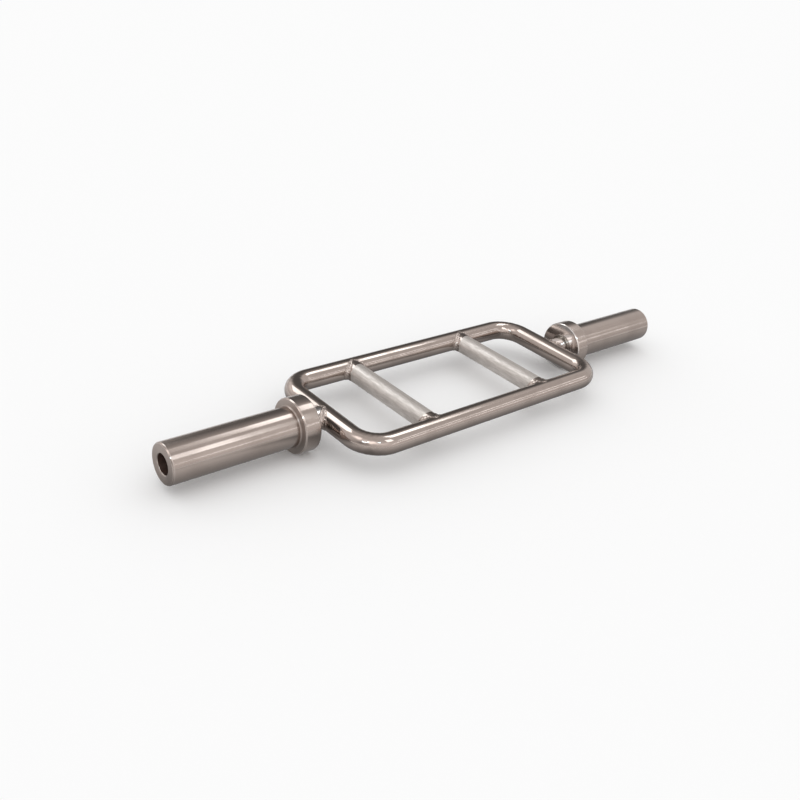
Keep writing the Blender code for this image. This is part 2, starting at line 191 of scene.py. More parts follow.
def softened(outline, steps=6):
    """Rounds the corners of an outline of (x, radius, soft). Each becomes the curve
    (1-t)^2 A + 2t(1-t) P + t^2 B, where A and B lie soft away from corner P along its two edges.
    Returns x, radius, and 4t(1-t) as a mark that is 1 in the middle of a softened edge."""
    table = np.array(outline, dtype=float)
    place, soft = table[:, :2], table[:, 2:3]
    t = np.linspace(0, 1, steps)[None, :, None]
    curve = place[:, None]
    for neighbour, weight in ((1, (1 - t) ** 2), (-1, t ** 2)):
        towards = np.roll(place, neighbour, axis=0) - place
        towards *= soft / np.linalg.norm(towards, axis=1, keepdims=True)
        curve = curve + weight * towards[:, None]
    edge = np.broadcast_to(4 * t[..., 0] * (1 - t[..., 0]), curve.shape[:2])
    keep = np.ones(curve.shape[:2], dtype=bool)
    keep[soft[:, 0] == 0, 1:] = False
    return curve[keep][:, 0], curve[keep][:, 1], edge[keep]


print("Softening one corner of three gives", len(softened([(0, 0, 0), (1, 0, 0.1), (1, 1, 0)])[0]), "points")


# %% Helpers for turned shapes
SMOOTH_FACE = 0.7


def points(x, y, z):
    """A grid of points (x, y, z) from three arrays that fit each other's rows and columns."""
    return np.stack(np.broadcast_arrays(x, y, z), axis=-1)


def circle(count):
    """This many angles, evenly round one full turn."""
    return np.linspace(0, 2 * math.pi, count, endpoint=False)


def turned(x, radius, side, columns):
    """Surface of revolution about X, (x, r cos a, r sin a). Both x and r may change with the angle."""
    angle = circle(columns)
    x, radius = (np.reshape(part, (len(x), -1)) for part in (x, radius))
    return points(side * x, radius * np.cos(angle), radius * np.sin(angle))


def make_both(make):
    """Makes the left and the right piece by one function, and prints what they are."""
    for side_name, side in SIDES.items():
        piece = make(side_name, side)
        print(piece.name, len(piece.data.polygons), "faces")


def turn_both(name, outline, material, ring=True, columns=128, hole=0.0, smooth_x=0.0):
    """The left and the right piece of this name, with one outline turned about X. What lies below the
    hole's radius is marked as the inside. Each point stores how much its outline runs outwards there:
    |dr| / sqrt(dx^2 + dr^2), 1 on a flat face. What lies before smooth_x is marked as polished, and a
    face there as no rougher than a chamfer."""
    x, radius, edge = softened(outline)
    along, outwards = (np.roll(part, -1) - np.roll(part, 1) for part in (x, radius))
    face = np.abs(outwards) / np.hypot(along, outwards)
    face = np.where(x < smooth_x, np.minimum(face, SMOOTH_FACE), face)
    polish, inside = (x < smooth_x).astype(float), (radius < hole).astype(float)
    marks = {"edge": edge, "inside": inside, "face": face, "polish": polish}
    marks = {label: np.broadcast_to(mark[:, None], (len(x), columns)) for label, mark in marks.items()}

    def make(side_name, side):
        """The same outline turned on one side."""
        grid = turned(x, radius, side, columns)
        return make_piece(f"{side_name}_{name}", grid, material, ring=ring, **marks)

    make_both(make)


print("Two points turned in 8 columns give a grid of", turned([0, 1], [1, 1], 1, 8).shape)

# %% [markdown]
# ## Shared surface effects
# The same few things happen to every metal surface here. A lathe leaves fine rings. A polishing belt
# leaves hairlines along the bar. Hands and storage leave a faint uneven haze. Corners and grooves get
# painted shade.
# Each effect is one node group with named inputs, built once, and each material sets its own values.


# %% Helpers for nodes
def add_node(tree, kind, settings=None, **inputs):
    """Adds a node, applies its settings, and sets or links its inputs by name or by _ and a number."""
    node = tree.nodes.new("ShaderNode" + kind)
    for name, value in (settings or {}).items():
        setattr(node, name, value)
    for name, value in inputs.items():
        socket = node.inputs[int(name[1:]) if name[0] == "_" else name]
        if isinstance(value, bpy.types.NodeSocket):
            tree.links.new(value, socket)
        else:
            socket.default_value = value
    return node


def new_group(name, result, work_out, **numbers):
    """A shader node group that reads a vector and these numbers, and puts out what work_out gives."""
    tree = bpy.data.node_groups.new(name, "ShaderNodeTree")
    tree.interface.new_socket("Vector", in_out="INPUT", socket_type="NodeSocketVector")
    for label, default in numbers.items():
        socket = tree.interface.new_socket(label, in_out="INPUT", socket_type="NodeSocketFloat")
        socket.default_value = default
    tree.interface.new_socket(result, in_out="OUTPUT", socket_type="NodeSocketFloat")
    given, end = tree.nodes.new("NodeGroupInput"), tree.nodes.new("NodeGroupOutput")
    tree.links.new(work_out(tree, given.outputs), end.inputs[result])
    print(name, "group with", len(tree.nodes), "nodes")
    return tree


def math_node(tree, operation, *values, clamp=False):
    """One Math node, and its result."""
    inputs = {"_" + str(number): value for number, value in enumerate(values)}
    return add_node(tree, "Math", {"operation": operation, "use_clamp": clamp}, **inputs).outputs[0]


# %% Lathe rings
def axes_of(tree, vector):
    """A vector taken apart into X, Y and Z."""
    return add_node(tree, "SeparateXYZ", Vector=vector).outputs


def vector_of(tree, **axes):
    """A vector put together from X, Y and Z."""
    return add_node(tree, "CombineXYZ", **axes).outputs[0]


def noise_at(tree, point, scale, detail, dimensions="3D"):
    """Noise texture read at a point, around 0.5."""
    settings = {"noise_dimensions": dimensions}
    return add_node(tree, "TexNoise", settings, Vector=point, Scale=scale, Detail=detail).outputs["Fac"]


def distance_from_axis(tree, place):
    """Distance of a point from the X axis: the length of (0, y, z)."""
    flat = vector_of(tree, Y=place["Y"], Z=place["Z"])
    return add_node(tree, "VectorMath", {"operation": "LENGTH"}, _0=flat).outputs["Value"]


def lathe_rings(tree, given):
    """Noise read at (x, distance from the X axis), so it makes rings on faces and round the sides."""
    place = axes_of(tree, given["Vector"])
    x = math_node(tree, "DIVIDE", place["X"], given["Pitch"])
    r = math_node(tree, "DIVIDE", distance_from_axis(tree, place), given["Pitch"])
    return noise_at(tree, vector_of(tree, X=x, Y=r), 1.0, 2.0, "2D")


LATHE_RINGS = new_group("Lathe rings", "Height", lathe_rings, Pitch=0.0004)


# %% Belt hairlines
def hairlines(tree, given):
    """Noise that is stretched along X, so it makes fine lines along a straight bar."""
    place = axes_of(tree, given["Vector"])
    x = math_node(tree, "DIVIDE", place["X"], given["Length"])
    y, z = (math_node(tree, "DIVIDE", place[axis], given["Width"]) for axis in "YZ")
    return noise_at(tree, vector_of(tree, X=x, Y=y, Z=z), 1.0, 2.0)


HAIRLINES = new_group("Hairlines", "Height", hairlines, Width=0.0004, Length=0.04)


# %% Handling haze
def remap(tree, value, low, high, to_low=0.0, to_high=1.0):
    """Smoothly maps a value from one range to another and stops at its ends."""
    inputs = {"_0": value, "_1": low, "_2": high, "_3": to_low, "_4": to_high}
    return add_node(tree, "MapRange", {"interpolation_type": "SMOOTHSTEP"}, **inputs).outputs[0]


def handling_haze(tree, given):
    """Soft clouds: where hands and racks have dulled the polish a little."""
    clouds = noise_at(tree, given["Vector"], math_node(tree, "DIVIDE", 1.0, given["Size"]), 4.0)
    return remap(tree, clouds, 0.38, 0.66)


HAZE = new_group("Handling haze", "Mask", handling_haze, Size=0.03)


# %% Painted corner shade
def corner_grime(tree, given):
    """A stored depth, broken up by fine noise: painted shade in corners and grooves, where less light
    reaches.
    """
    broken = remap(tree, noise_at(tree, given["Vector"], 900.0, 3.0), 0.3, 0.7, 0.55, 1.0)
    deep = math_node(tree, "MULTIPLY", given["Depth"], broken)
    return math_node(tree, "MULTIPLY", deep, given["Amount"], clamp=True)


CORNER_SHADE = new_group("Painted corner shade", "Mask", corner_grime, Depth=0.0, Amount=1.0)


# %% Slide marks
def slide_marks(tree, given):
    """Sparse streaks along a turned piece, where plates have been pushed on. The streaks are noise read
    at (x, angle * radius), and only its highest parts count."""
    place = axes_of(tree, given["Vector"])
    angle = math_node(tree, "ARCTAN2", place["Y"], place["Z"])
    arc = math_node(tree, "MULTIPLY", angle, distance_from_axis(tree, place))
    x = math_node(tree, "DIVIDE", place["X"], given["Length"])
    y = math_node(tree, "DIVIDE", arc, given["Width"])
    noise = noise_at(tree, vector_of(tree, X=x, Y=y), 1.0, 3.0, "2D")
    return remap(tree, noise, 0.52, 0.74)


SLIDE_MARKS = new_group("Slide marks", "Mask", slide_marks, Width=0.0007, Length=0.05)

# %% [markdown]
# ## Finishes
# The bar is bright plated steel with a warm nickel tint. Metal has hardly any colour of its own: what
# the eye reads is the room in its surface. So the finishes differ mainly in roughness and in how their
# fine marks run. Rings round the sleeves stretch a highlight along them, hairlines on the loop keep it
# crisp, and the diamonds of the grips scatter it to a soft grey.


# %% Helpers for finishes
def use_group(tree, group, **inputs):
    """Places a node group in a material, sets its inputs, and gives its result."""
    return add_node(tree, "Group", {"node_tree": group}, **inputs).outputs[0]


def stored(tree, name, output="Fac"):
    """A value that was stored on the mesh with its shape."""
    return add_node(tree, "Attribute", {"attribute_name": name}).outputs[output]


def mix_colour(tree, share, *colours):
    """Blend of two colours by a share from 0 to 1."""
    first, second = ((*part, 1.0) if isinstance(part, tuple) else part for part in colours)
    return add_node(tree, "Mix", {"data_type": "RGBA"}, _0=share, _6=first, _7=second).outputs[2]


def new_finish(name, anisotropic=0.0, metallic=1.0):
    """A material with its shader, ready for colour, roughness and bump. An anisotropic one stretches
    its highlights along U, which runs along a turned piece and outwards on its faces."""
    material = bpy.data.materials.new(name)
    material.use_nodes = True
    tree = material.node_tree
    shader = tree.nodes["Principled BSDF"]
    shader.inputs["Metallic"].default_value = metallic
    shader.inputs["Anisotropic"].default_value = anisotropic
    if anisotropic:
        along = add_node(tree, "Tangent", {"direction_type": "UV_MAP", "uv_map": "UVMap"})
        tree.links.new(along.outputs["Tangent"], shader.inputs["Tangent"])
    return material, tree, shader


def set_surface(tree, shader, colour, roughness, height, depth):
    """Links colour and roughness, and a bump of this height times this depth in metres."""
    tree.links.new(colour, shader.inputs["Base Color"])
    tree.links.new(roughness, shader.inputs["Roughness"])
    bump = add_node(tree, "Bump", Height=height, Distance=depth, Strength=1.0)
    tree.links.new(bump.outputs["Normal"], shader.inputs["Normal"])


def print_finishes(*finishes):
    """Prints each finish with how many nodes it has."""
    print(", ".join(f"{finish.name} with {len(finish.node_tree.nodes)} nodes" for finish in finishes))


# %% Polished bar of the loop
WARM_PLATE = (0.42, 0.354, 0.32)
DULL_PLATE = (0.33, 0.274, 0.245)
HAIRLINE_DEPTH = 0.6e-6


def make_polished_bar():
    """Hairlines along the bar, and haze in the colour and the roughness."""
    material, tree, shader = new_finish("polished_bar")
    place = stored(tree, "straight", "Vector")
    hairline = use_group(tree, HAIRLINES, Vector=place, Width=0.0005, Length=0.05)
    haze = use_group(tree, HAZE, Vector=place, Size=0.035)
    colour = mix_colour(tree, remap(tree, haze, 0.0, 1.0, 0.0, 0.5), WARM_PLATE, DULL_PLATE)
    roughness = remap(tree, haze, 0.0, 1.0, 0.10, 0.19)
    set_surface(tree, shader, colour, roughness, hairline, HAIRLINE_DEPTH)
    return material


polished_bar = make_polished_bar()
print_finishes(polished_bar)

# %% Turned plating of the sleeves, collars and spindles
EDGE_HIGHLIGHT_PLATE = (0.62, 0.58, 0.55)
POLISHED_PLATE = (0.70, 0.66, 0.64)
SHADED_BORE = (0.07, 0.038, 0.028)
FACE_ROUGHNESS = 0.36
CHAMFER_ROUGHNESS = 0.12
BORE_ROUGHNESS = 0.42
BORE_METALLIC = 0.45
HAZE_SHARE = 0.45
SLIDE_SHARE = 0.25
EDGE_HIGHLIGHT_SHARE = 0.4


def object_place(tree):
    """The point in the object's own coordinates, which are metres in the shared frame."""
    return add_node(tree, "TexCoord").outputs["Object"]


def make_turned_plate(name, smooth, dull, pitch, ring_depth, streak_depth, anisotropic):
    """Lathe rings and slide marks in one height, haze and slide marks in the colour and roughness. The
    rings on a flat face are coarser, so it is rougher, and the chamfers are burnished. Softened edges get a
    painted highlight in the colour."""
    material, tree, shader = new_finish(name, anisotropic)
    place = object_place(tree)
    rings = use_group(tree, LATHE_RINGS, Vector=place, Pitch=pitch)
    haze = use_group(tree, HAZE, Vector=place, Size=0.045)
    slide = use_group(tree, SLIDE_MARKS, Vector=place, Width=0.0007, Length=0.05)
    cloudy = math_node(tree, "MULTIPLY", haze, HAZE_SHARE)
    dull_share = math_node(tree, "MULTIPLY_ADD", slide, SLIDE_SHARE, cloudy, clamp=True)
    worn = mix_colour(tree, dull_share, WARM_PLATE, DULL_PLATE)
    # Softened edges are mixed towards a lighter colour: a painted highlight.
    edge = math_node(tree, "MULTIPLY", stored(tree, "edge"), EDGE_HIGHLIGHT_SHARE)
    bright = mix_colour(tree, edge, worn, EDGE_HIGHLIGHT_PLATE)
    polished = mix_colour(tree, stored(tree, "polish"), bright, POLISHED_PLATE)
    inside = stored(tree, "inside")
    # Inside the sleeve's bore the colour is painted nearly black: painted shade in the deep hole.
    colour = mix_colour(tree, inside, polished, SHADED_BORE)
    side_roughness = remap(tree, dull_share, 0.0, 1.0, smooth, dull)
    face = stored(tree, "face")
    chamfer_roughness = remap(tree, face, 0.2, 0.45, side_roughness, CHAMFER_ROUGHNESS)
    outside_roughness = remap(tree, face, 0.8, 0.95, chamfer_roughness, FACE_ROUGHNESS)
    roughness = remap(tree, inside, 0.0, 1.0, outside_roughness, BORE_ROUGHNESS)
    tree.links.new(remap(tree, inside, 0.0, 1.0, 1.0, BORE_METALLIC), shader.inputs["Metallic"])
    streaks = math_node(tree, "MULTIPLY", slide, streak_depth / ring_depth)
    set_surface(tree, shader, colour, roughness, math_node(tree, "SUBTRACT", rings, streaks), ring_depth)
    return material


sleeve_plate = make_turned_plate(
    "sleeve_plate", 0.17, 0.26, pitch=0.0005, ring_depth=1.2e-6, streak_depth=1.5e-6, anisotropic=0.75)
collar_plate = make_turned_plate(
    "collar_plate", 0.18, 0.25, pitch=0.0006, ring_depth=1.2e-6, streak_depth=1.5e-6, anisotropic=0.9)
spindle_plate = make_turned_plate(
    "spindle_plate", 0.12, 0.18, pitch=0.0005, ring_depth=1.0e-6, streak_depth=1.0e-6, anisotropic=0.7)
print_finishes(sleeve_plate, collar_plate, spindle_plate)

# %% Smoothed weld fillets
# Dark brown of the painted shade in weld corners and knurl grooves
SHADE_BROWN = (0.09, 0.065, 0.05)
WELD_GRAIN_DEPTH = 0.08 * MILLIMETRE


def make_weld_plate():
    """Plating over a ground weld: fine lumps, and painted shade in the corners at its toes."""
    material, tree, shader = new_finish("weld_plate")
    place = object_place(tree)
    grain = noise_at(tree, place, 260.0, 3.0)
    # The toes are mixed towards dark brown: painted shade in the corners between weld and bar.
    toe = use_group(tree, CORNER_SHADE, Vector=place, Depth=stored(tree, "corner"), Amount=0.8)
    colour = mix_colour(tree, toe, WARM_PLATE, SHADE_BROWN)
    roughness = remap(tree, grain, 0.3, 0.7, 0.10, 0.24)
    set_surface(tree, shader, colour, roughness, grain, WELD_GRAIN_DEPTH)
    return material


weld_plate = make_weld_plate()
print_finishes(weld_plate)

# %% Knurled grips
MATTE_LIGHT = (0.68, 0.628, 0.59)
MATTE_DARK = (0.55, 0.504, 0.468)
KNURL_GRAIN_DEPTH = 0.03 * MILLIMETRE


def make_knurled_plate():
    """Matte and softly streaked where it is knurled, with painted shade in the grooves, and as bright as the
    loop on the smooth ends.
    """
    material, tree, shader = new_finish("knurled_plate")
    place = object_place(tree)
    smooth = stored(tree, "smooth_end")
    axes = axes_of(tree, place)
    lengthways = vector_of(tree, X=axes["Y"], Y=axes["X"], Z=axes["Z"])
    streak = use_group(tree, HAIRLINES, Vector=lengthways, Width=0.0022, Length=0.014)
    haze = remap(tree, streak, 0.32, 0.68)
    # The knurl grooves are mixed towards dark brown: painted shade.
    groove = use_group(tree, CORNER_SHADE, Vector=place, Depth=stored(tree, "groove"), Amount=0.35)
    plate = mix_colour(tree, haze, MATTE_LIGHT, MATTE_DARK)
    matte = mix_colour(tree, groove, plate, SHADE_BROWN)
    colour = mix_colour(tree, smooth, matte, WARM_PLATE)
    matte_roughness = remap(tree, haze, 0.0, 1.0, 0.34, 0.42)
    roughness = remap(tree, smooth, 0.0, 1.0, matte_roughness, 0.14)
    tree.links.new(remap(tree, smooth, 0.0, 1.0, 0.5, 1.0), shader.inputs["Metallic"])
    grain = noise_at(tree, place, 2500.0, 2.0)
    rough_grain = math_node(tree, "MULTIPLY", grain, math_node(tree, "SUBTRACT", 1.0, smooth))
    set_surface(tree, shader, colour, roughness, rough_grain, KNURL_GRAIN_DEPTH)
    return material


knurled_plate = make_knurled_plate()
print_finishes(knurled_plate)

# %% Washers, bolts and bushings
SMALL_RING_DEPTH = 2e-6
RIM_SHINE = 1.5
RIM_SHARE = 0.8


def make_small_part(name, clean, dark, smooth, dull):
    """A turned part in one metal, between a clean and an oily dark tone, with a painted highlight on its
    rims.
    """
    material, tree, shader = new_finish(name)
    place = object_place(tree)
    rings = use_group(tree, LATHE_RINGS, Vector=place, Pitch=0.0003)
    haze = use_group(tree, HAZE, Vector=place, Size=0.006)
    # Rims are mixed towards a lighter colour: a painted highlight.
    rim = math_node(tree, "MULTIPLY", stored(tree, "edge"), RIM_SHARE)
    bright = tuple(RIM_SHINE * part for part in clean)
    colour = mix_colour(tree, rim, mix_colour(tree, haze, clean, dark), bright)
    set_surface(tree, shader, colour, remap(tree, haze, 0.0, 1.0, smooth, dull), rings, SMALL_RING_DEPTH)
    return material


washer_steel = make_small_part("washer_steel", (0.40, 0.37, 0.34), (0.24, 0.215, 0.19), 0.20, 0.38)
black_oxide = make_small_part("black_oxide", (0.12, 0.10, 0.085), (0.06, 0.05, 0.042), 0.30, 0.50)
bronze = make_small_part("bronze", (0.55, 0.36, 0.16), (0.34, 0.21, 0.09), 0.25, 0.42)
print_finishes(washer_steel, black_oxide, bronze)

# %% [markdown]
# ## The loop
# The real loop is one round bar bent cold round a former and butt welded in the middle of both long
# rails, then ground flush and polished until no seam shows. A curve object with a round bevel would do,
# but a grid gives more: each point also remembers where it lay on the straight bar, so the hairlines of
# the polishing belt follow the bends. The two halves meet flush in the middle.

# %% Bend the bar
BAR_COLUMNS = 96
BEND_ROWS = 90
RUN_ROWS = 10
DENT_DEPTH = 0.30 * MILLIMETRE

# Each wave of the dents: turns round the bar, and waves for each millimetre along it
DENTS = [(2, 1 / 11.0), (-3, 1 / 8.5), (5, 1 / 7.0), (-7, 1 / 5.8), (-5, 1 / 9.5), (8, 1 / 6.6)]
DENT_SHIFT = 2.1


def ripples(waves, angle, along, start, shift):
    """Mean of sin(turns * angle + 2 pi cycles * along + start + shift * number) over a few waves. It
    lies between about -1 and 1, and whole turns close it round a bar."""
    total = 0
    for number, (turns, cycles) in enumerate(waves):
        total = total + np.sin(turns * angle + 2 * math.pi * cycles * along + start + shift * number)
    return total / len(waves)


def loop_path():
    """Right half of the loop's centre line as points, headings and lengths. Every point is an anchor
    plus R (sin h, -cos h). On the runs the anchor moves, and in the bends only the heading h turns."""
    turn_x, turn_y = END_RAIL_X - BEND_RADIUS, LONG_RAIL_Y - BEND_RADIUS
    run = np.linspace(0, turn_x, RUN_ROWS, endpoint=False)
    rise = np.linspace(-turn_y, turn_y, RUN_ROWS + 2)[1:-1]
    still, bend = np.ones(RUN_ROWS), np.ones(BEND_ROWS)
    quarter, turn = math.pi / 2, np.linspace(0, math.pi / 2, BEND_ROWS)
    x = np.concatenate([run, turn_x * bend, turn_x * still, turn_x * bend, run[::-1]])
    y = np.concatenate([-turn_y * still, -turn_y * bend, rise, turn_y * bend, turn_y * still])
    heading = np.concatenate([0 * still, turn, quarter * still, quarter + turn, 2 * quarter * still])
    x += BEND_RADIUS * np.sin(heading)
    y -= BEND_RADIUS * np.cos(heading)
    length = np.concatenate([[0.0], np.cumsum(np.hypot(np.diff(x), np.diff(y)))])
    return x, y, heading, length


def make_bow(side_name, side):
    """A circle carried along the path: centre + r (cos a * outward + sin a * up). The bender and hand
    polishing leave shallow dents in the bends: r = bar radius - depth sin^2(2 h) (1 + dents) / 2."""
    x, y, heading, length = (part[:, None] for part in loop_path())
    angle = circle(BAR_COLUMNS)
    dents = ripples(DENTS, angle + side, length / MILLIMETRE, 0, DENT_SHIFT)
    radius = BAR_RADIUS - DENT_DEPTH * np.sin(2 * heading) ** 2 * (1 + dents) / 2
    outward, up = radius * np.cos(angle), radius * np.sin(angle)
    grid = points(side * (x + outward * np.sin(heading)), y - outward * np.cos(heading), up)
    straight = points(length, outward, up)
    return make_piece(side_name + "_frame_bow", grid, polished_bar, straight=straight)


make_both(make_bow)
print("bar length in mm:", in_mm(loop_path()[3][-1]))

# %% [markdown]
# ## The knurled grips
# The grips read as a soft matte grey beside the mirror of the loop. On a bar like this that comes from
# knurling: a wheel presses two crossing sets of helical grooves, which leaves rows of small diamonds
# with slightly flattened tips. A bump map would look flat at the silhouette, so the diamonds are real.
# Two triangle waves run along the two helices, and the lower of them is the height of the metal. Next
# to the rails the knurl stops, because the ends of the grips were polished together with the welds.

# %% Knurl the grips
DIAMONDS_ROUND = 52
KNURL_ANGLE = math.radians(30)
KNURL_DEPTH = 0.20 * MILLIMETRE
TIP_FLAT = 0.72
POINTS_PER_DIAMOND = 4
SMOOTH_END_TOP = 16.5 * MILLIMETRE
SMOOTH_END_SIDE = 19.5 * MILLIMETRE


def wave(phase):
    """Triangle wave: 0 where the phase is a whole number, 1 halfway between."""
    return 1 - np.abs(2 * (phase % 1.0) - 1)


def make_grip(side_name, side):
    """Radius = bar radius - depth * (1 - height), where height = min(wave(p+q), wave(p-q)) with its
    tips cut flat, p counts diamonds round the bar and q counts them along it."""
    pitch = 2 * math.pi * CROSS_BAR_RADIUS / DIAMONDS_ROUND
    diamond_length = pitch / math.tan(KNURL_ANGLE)
    reach = LONG_RAIL_Y - MILLIMETRE
    step = diamond_length / POINTS_PER_DIAMOND
    rows = 2 * int(reach / step) + 1
    along = (np.arange(rows) - rows // 2)[:, None] * step
    columns = DIAMONDS_ROUND * POINTS_PER_DIAMOND
    turns = np.arange(columns)[None] / columns
    p, q = turns * DIAMONDS_ROUND, along / diamond_length
    height = np.minimum(np.minimum(wave(p + q), wave(p - q)) / TIP_FLAT, 1.0)
    angle = 2 * math.pi * turns

    # The knurl stops where the weld was polished: this far from the rail's centre, less at the top
    smooth_end = SMOOTH_END_TOP + (SMOOTH_END_SIDE - SMOOTH_END_TOP) * np.cos(angle) ** 2
    smooth = np.clip((np.abs(along) - LONG_RAIL_Y + smooth_end) / step + 0.5, 0, 1)
    height = 1 - (1 - height) * (1 - smooth)
    radius = CROSS_BAR_RADIUS - KNURL_DEPTH * (1 - height)
    x, z = side * GRIP_X + radius * np.cos(angle), radius * np.sin(angle)
    marks = {"groove": (1 - height) ** 2, "smooth_end": smooth}
    return make_piece(side_name + "_grip", points(x, along, z), knurled_plate, crease=25, **marks)


make_both(make_grip)

# %% [markdown]
# ## The fillet welds
# Each grip, and the neck of each spindle, is welded on all round, and the weld is ground and polished
# to a hollow fillet that runs into both bars. Picture a ball that rolls round the joint and touches
# both bars: the arc between its two touching points is the hollow of the weld. At the sides the arc is
# wide. Over the top, where both bars are level, it shrinks to a narrow seam. Grinding by hand leaves
# the surface a little lumpy, and these lumps break the reflections into small bright spots.

# %% Roll a ball round a joint
WELD_STATIONS = 320
WELD_COLUMNS = 41
TOE_WIDTH = 1.2 * MILLIMETRE
CROWN_WIDTH = 5.5 * MILLIMETRE
BEAD_HEIGHT = 0.50 * MILLIMETRE
LUMP_HEIGHT = 0.40 * MILLIMETRE
TOE_SINK = 0.10 * MILLIMETRE
TOE_SHARE = 0.2
RISE_SHARE = 0.6 * TOE_SHARE

# Each wave of the lumps: turns round the joint, and waves from toe to toe
LUMPS = [(9, 0.9), (14, -1.3), (22, 1.6), (31, -1.9), (42, 2.3), (53, -1.4)]
LUMP_SHIFT = 2.3
SEED_SHIFT = 1.7


def on_run_bar(x, angle, radius=BAR_RADIUS):
    """Point of a bar along X: (x, r sin a, r cos a)."""
    return points(x, radius * np.sin(angle), radius * np.cos(angle))


def weld_grid(ball, seed):
    """The weld in its own frame, with the run bar along X and the branch bar along Z. The ball's centre
    goes round at r = branch radius + ball and z = sqrt((run radius + ball)^2 - y^2)."""
    angle, v = circle(WELD_STATIONS)[:, None], np.linspace(0, 1, WELD_COLUMNS)[None]
    out_x, out_y = np.cos(angle), np.sin(angle)
    centre_x, centre_y = ((CROSS_BAR_RADIUS + ball) * part for part in (out_x, out_y))
    centre_z = np.sqrt((BAR_RADIUS + ball) ** 2 - centre_y ** 2)
    run_angle = np.arctan2(centre_y, centre_z)

    # Directions from the ball's centre to its two touching points, and the turn between them
    centre = points(centre_x, centre_y, centre_z)
    first = (points(CROSS_BAR_RADIUS * out_x, CROSS_BAR_RADIUS * out_y, centre_z) - centre) / ball
    last = (on_run_bar(centre_x, run_angle) - centre) / ball
    turn = np.arccos(np.clip((first * last).sum(-1, keepdims=True), -1, 1))
    share = np.clip((v - TOE_SHARE) / (1 - 2 * TOE_SHARE), 0, 1)[..., None]
    arc = (np.sin((1 - share) * turn) * first + np.sin(share * turn) * last) / np.sin(turn)
    weld = centre + ball * arc
    normal = -arc

    # Toes: up along the branch, furthest where both bars are level, and along and round the run
    up = (TOE_WIDTH + (CROWN_WIDTH - TOE_WIDTH) * out_y ** 2) * np.clip(1 - v / TOE_SHARE, 0, 1)
    away = TOE_WIDTH * np.clip((v - 1) / TOE_SHARE + 1, 0, 1)
    weld[..., 2] += up
    slide = run_angle + away * out_y / BAR_RADIUS
    beyond = (away > 0)[..., None]
    weld = np.where(beyond, on_run_bar(centre_x + away * out_x, slide), weld)
    normal = np.where(beyond, on_run_bar(0 * slide, slide, 1.0), normal)

    # The bead bulges by rise^2 (3 - 2 rise), and its lumps break the reflections
    rise = np.clip(np.minimum(v, 1 - v) / RISE_SHARE, 0, 1)
    rise = rise * rise * (3 - 2 * rise)
    lumps = ripples(LUMPS, angle, v, SEED_SHIFT * seed, LUMP_SHIFT)
    bead = (BEAD_HEIGHT + LUMP_HEIGHT * lumps + TOE_SINK) * rise - TOE_SINK
    weld = weld + normal * bead[..., None]
    corner = np.broadcast_to(1 - rise ** 2, weld.shape[:2])

    # The root closes the weld inside the bars
    root = BAR_RADIUS / 2 * points(out_x, out_y, np.abs(out_x))
    return np.concatenate([weld, root], axis=1), np.concatenate([corner, 0 * out_x], axis=1)


print("The grid of a weld is", weld_grid(4 * MILLIMETRE, 0)[0].shape)

# %% Weld the grips and the necks
RAILS = {"front": -1, "back": 1}
GRIP_BALL = 5.0 * MILLIMETRE
NECK_BALL = 6.5 * MILLIMETRE
ALONG_X, ALONG_Y = np.array([1.0, 0, 0]), np.array([0, 1.0, 0])


def make_weld(node, place, run, branch, ball, seed):
    """Stands the weld at its joint: place + x * run + y * (branch x run) + z * branch."""
    local, corner = weld_grid(ball, seed)
    turn = np.array([run, np.cross(branch, run), branch])
    return make_piece(node, np.array(place) + local @ turn, weld_plate, ring=True, crease=50, corner=corner)


for side_name, side in SIDES.items():
    for rail_name, rail in RAILS.items():
        place = (side * GRIP_X, rail * LONG_RAIL_Y, 0)
        node = f"{side_name}_grip_{rail_name}_weld"
        make_weld(node, place, ALONG_X, -rail * ALONG_Y, GRIP_BALL, 2 * side + rail)
    place = (side * END_RAIL_X, 0, 0)
    make_weld(side_name + "_neck_weld", place, ALONG_Y, side * ALONG_X, NECK_BALL, 5 * side)
    print("welds on the", side_name, "side are made")

# %% [markdown]
# ## The spindles
# The spindle is turned from one bar: a thick neck that is welded to the end rail, and behind the
# thrust washer a thinner shaft that carries the sleeve. It ends in a threaded hole for the bolt. Only
# the neck shows, but the shaft is made too, because the sleeve can be taken off.

# %% Turn the spindles
NECK_ROOT = 1.0 * MILLIMETRE
NECK_CHAMFER = 1.0 * MILLIMETRE
BOLT_HOLE_RADIUS = 5.3 * MILLIMETRE
BOLT_HOLE_DEPTH = 26.0 * MILLIMETRE
NECK_END_X = span("right_thrust_washer")[0] - SEAT_GAP
SHAFT_END_X = span("right_spindle")[1]
spindle_outline = [
    (END_RAIL_X + NECK_ROOT, CROSS_BAR_RADIUS, 0),
    (NECK_END_X - NECK_CHAMFER, CROSS_BAR_RADIUS, USUAL_SOFT),
    (NECK_END_X, CROSS_BAR_RADIUS - NECK_CHAMFER, USUAL_SOFT),
    (NECK_END_X, SHAFT_RADIUS, 0),
    (SHAFT_END_X - NECK_CHAMFER, SHAFT_RADIUS, FINE_SOFT),
    (SHAFT_END_X, SHAFT_RADIUS - NECK_CHAMFER, FINE_SOFT),
    (SHAFT_END_X, BOLT_HOLE_RADIUS, THIN_SOFT),
    (SHAFT_END_X - BOLT_HOLE_DEPTH, BOLT_HOLE_RADIUS, 0),
]
turn_both("spindle", spindle_outline, spindle_plate, ring=False, smooth_x=SHAFT_END_X)
print("neck and shaft end in mm:", in_mm(NECK_END_X, SHAFT_END_X))

# %% [markdown]
# ## The sleeves
# The sleeve is a thick tube that the plates slide on. It is turned and plated, so a highlight runs
# along it as a soft band. Its end has a bright chamfer outside and a small one at the mouth. Inside, a
# shoulder keeps each bushing in its place. The whole wall is one closed outline turned about X.

